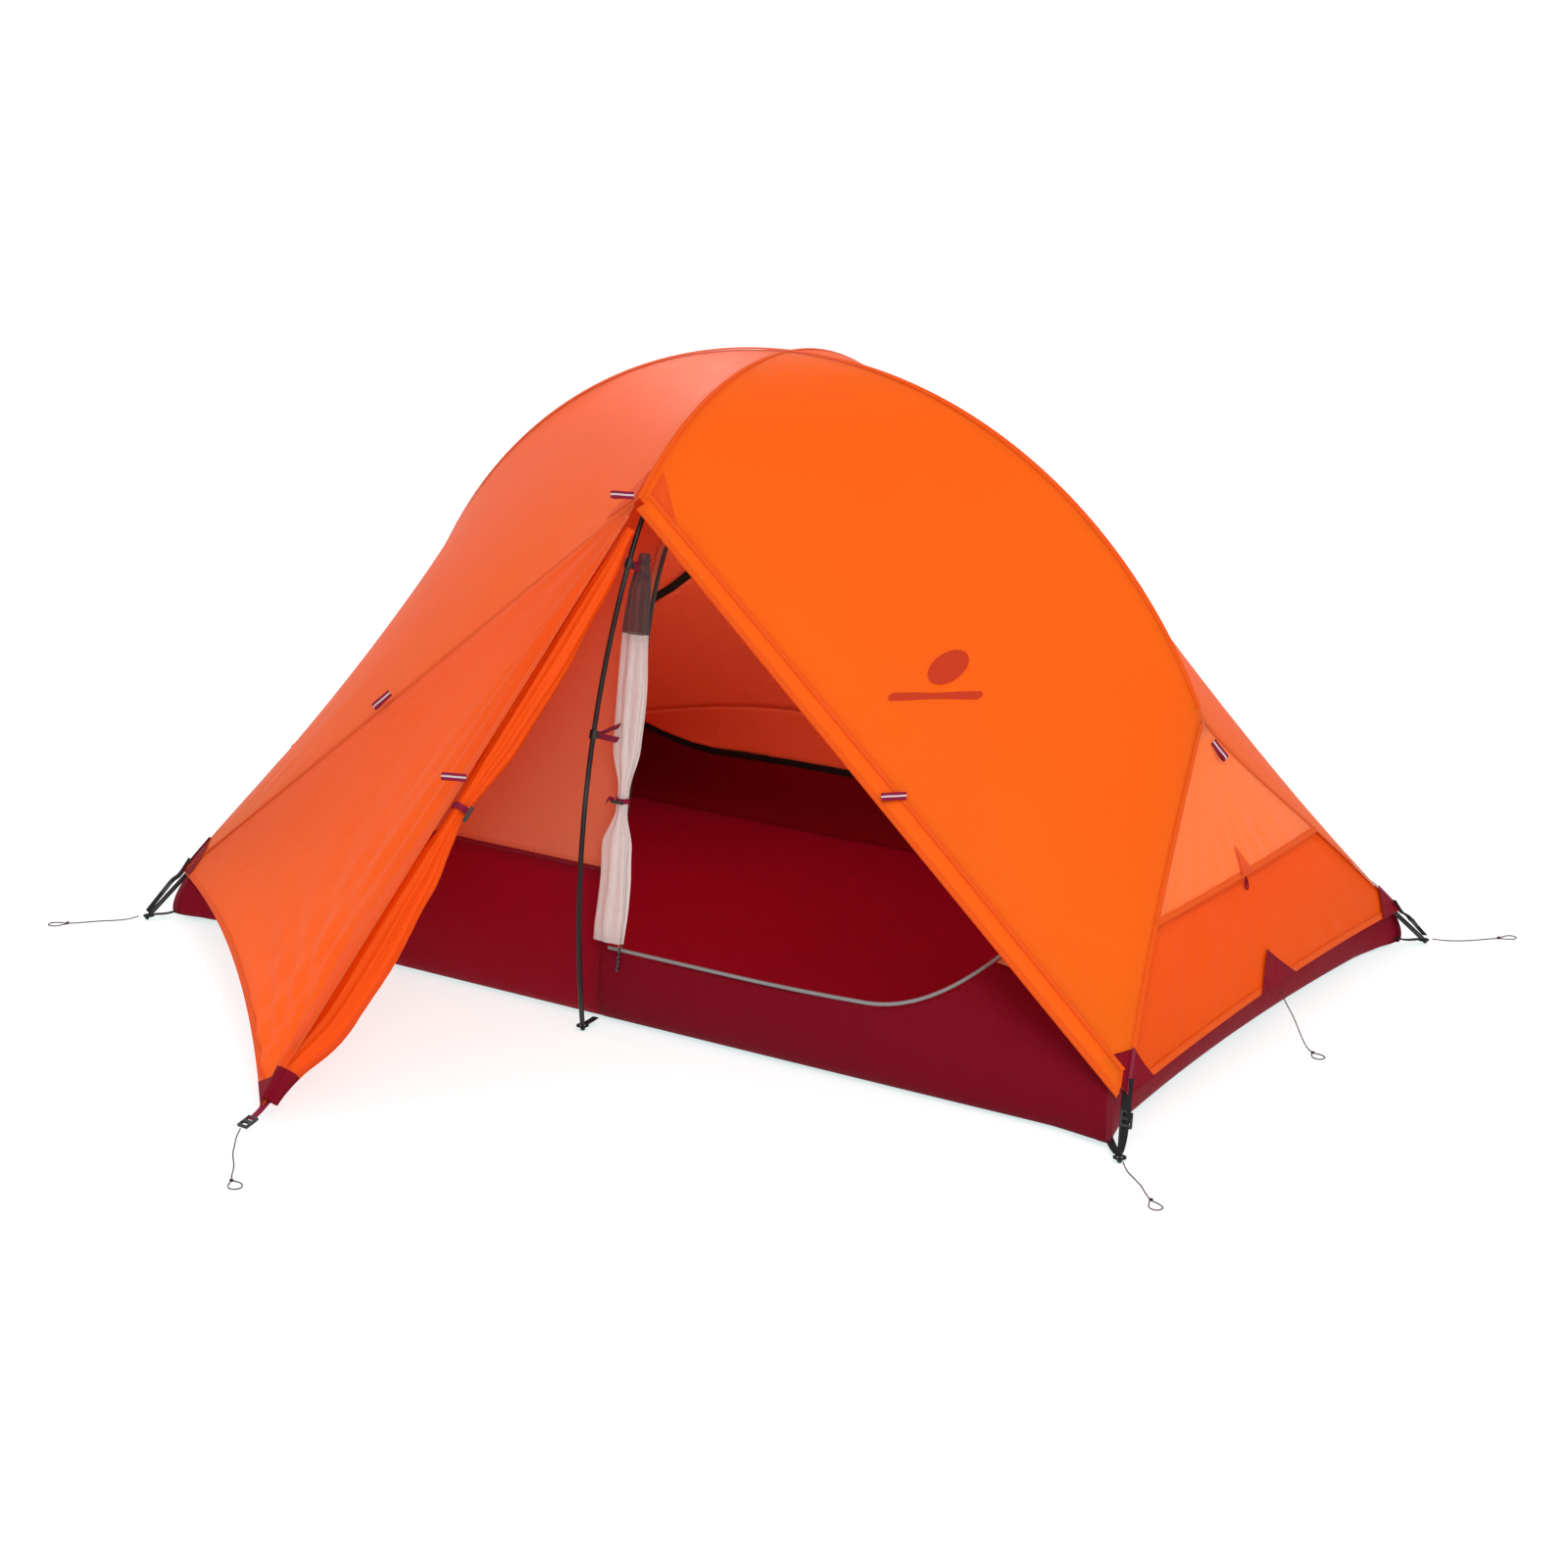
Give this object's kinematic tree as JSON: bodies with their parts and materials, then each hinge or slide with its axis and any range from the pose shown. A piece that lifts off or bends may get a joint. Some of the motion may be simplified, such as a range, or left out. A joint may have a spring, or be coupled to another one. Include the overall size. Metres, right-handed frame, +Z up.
{
  "type": "frame tent",
  "caption": "Pitched double-wall tent on a hubbed pole frame, with an orange fly, red tub floor, one door rolled back and vestibules on both sides.",
  "frame": {"origin": "on the ground under the middle of the floor", "axes": "+X along the ridge, -Y towards the open door, +Z up"},
  "size_m": [2.5244, 3.1842, 1.1849],
  "materials": {
    "fly_ripstop": "silky coated ripstop",
    "wall_cloth": "breathable ripstop",
    "door_cloth": "light translucent ripstop and mesh",
    "floor_cloth": "coated taffeta",
    "zip_coil": "coil and tape",
    "slider_metal": "satin",
    "pull_cord": "braided",
    "guy_line": "braided, flecked",
    "pole_tube": "satin composite tube",
    "hub_plastic": "moulded",
    "ferrule_metal": "dark anodised",
    "elastic": "braided elastic",
    "buckle_plastic": "moulded acetal",
    "black_webbing": "woven",
    "red_webbing": "woven with a reflective stripe"
  },
  "bodies": {
    "tent": {"fly_roof_near_left": "fly_ripstop", "fly_roof_far_left": "fly_ripstop", "fly_end_left": "fly_ripstop", "fly_roof_near_right": "fly_ripstop", "fly_roof_far_right": "fly_ripstop", "fly_end_right": "fly_ripstop", "vestibule_panel_near": "fly_ripstop", "vestibule_panel_far": "fly_ripstop", "fly_door_far": "fly_ripstop", "fly_door_near_rolled": "fly_ripstop", "storm_flap_near": "fly_ripstop", "storm_flap_far": "fly_ripstop", "fly_zip_near": "zip_coil", "fly_zip_far": "zip_coil", "inner_wall_near": "wall_cloth", "inner_wall_far": "wall_cloth", "inner_door_far": "door_cloth", "inner_end_right": "wall_cloth", "inner_end_left": "wall_cloth", "floor_tub": "floor_cloth", "door_zip_near": "zip_coil", "door_zip_far": "zip_coil", "inner_door_near_tied": "door_cloth", "ridge_pole": "pole_tube", "cross_pole": "pole_tube", "leg_pole_near_right": "pole_tube", "leg_pole_near_left": "pole_tube", "leg_pole_far_right": "pole_tube", "leg_pole_far_left": "pole_tube", "pole_ferrules": "ferrule_metal", "shock_cords": "elastic", "hub_right": "hub_plastic", "hub_left": "hub_plastic", "pole_tips": "ferrule_metal", "floor_corner_webbing": "black_webbing", "ladder_locks": "buckle_plastic", "fly_corner_straps": "black_webbing", "guy_out_loops": "red_webbing", "pole_clips": "buckle_plastic", "crossing_clip": "buckle_plastic", "door_ties": "red_webbing", "tie_toggles": "buckle_plastic", "guy_cord_near_right": "guy_line", "guy_cord_near_left": "guy_line", "guy_cord_far_right": "guy_line", "guy_cord_far_left": "guy_line", "guy_cord_vestibule_near": "guy_line", "guy_cord_vestibule_far": "guy_line", "guy_cord_right_end": "guy_line", "guy_cord_left_end": "guy_line", "cord_knots": "guy_line"},
    "near_fly_slider": {"near_fly_slider": "slider_metal"},
    "near_fly_pull": {"near_fly_pull": "pull_cord"},
    "far_fly_slider": {"far_fly_slider": "slider_metal"},
    "far_fly_pull": {"far_fly_pull": "pull_cord"},
    "near_door_slider": {"near_door_slider": "slider_metal"},
    "near_door_pull": {"near_door_pull": "pull_cord"},
    "far_door_slider": {"far_door_slider": "slider_metal"},
    "far_door_pull": {"far_door_pull": "pull_cord"}
  },
  "joints": [
    {"name": "near_fly_zip", "type": "slide", "parent": "tent", "child": "near_fly_slider", "axis": [0.7724, -0.074, -0.6309], "range_m": [0, 1.146]},
    {"name": "near_fly_pull_swing", "type": "hinge", "parent": "near_fly_slider", "child": "near_fly_pull", "pos_m": [0.07105, -0.50095, 0.90624], "axis": [-0.4681, -0.7377, -0.4866], "range_deg": [-100, 35]},
    {"name": "far_fly_zip", "type": "slide", "parent": "tent", "child": "far_fly_slider", "axis": [-0.7724, 0.074, -0.6309], "range_m": [-1.146, 0]},
    {"name": "far_fly_pull_swing", "type": "hinge", "parent": "far_fly_slider", "child": "far_fly_pull", "pos_m": [-0.95615, 0.58575, 0.18331], "axis": [0.4681, 0.7377, -0.4866], "range_deg": [-100, 35]},
    {"name": "near_door_zip", "type": "slide", "parent": "tent", "child": "near_door_slider", "axis": [1, 0, 0], "range_m": [0, 0.374]},
    {"name": "near_door_pull_swing", "type": "hinge", "parent": "near_door_slider", "child": "near_door_pull", "pos_m": [0.046, -0.62691, 0.15292], "axis": [1, 0, 0], "range_deg": [-110, 0]},
    {"name": "far_door_zip", "type": "slide", "parent": "tent", "child": "far_door_slider", "axis": [-1, 0, 0], "range_m": [0, 0.374]},
    {"name": "far_door_pull_swing", "type": "hinge", "parent": "far_door_slider", "child": "far_door_pull", "pos_m": [-0.046, 0.62691, 0.15292], "axis": [-1, 0, 0], "range_deg": [-110, 0]}
  ]
}
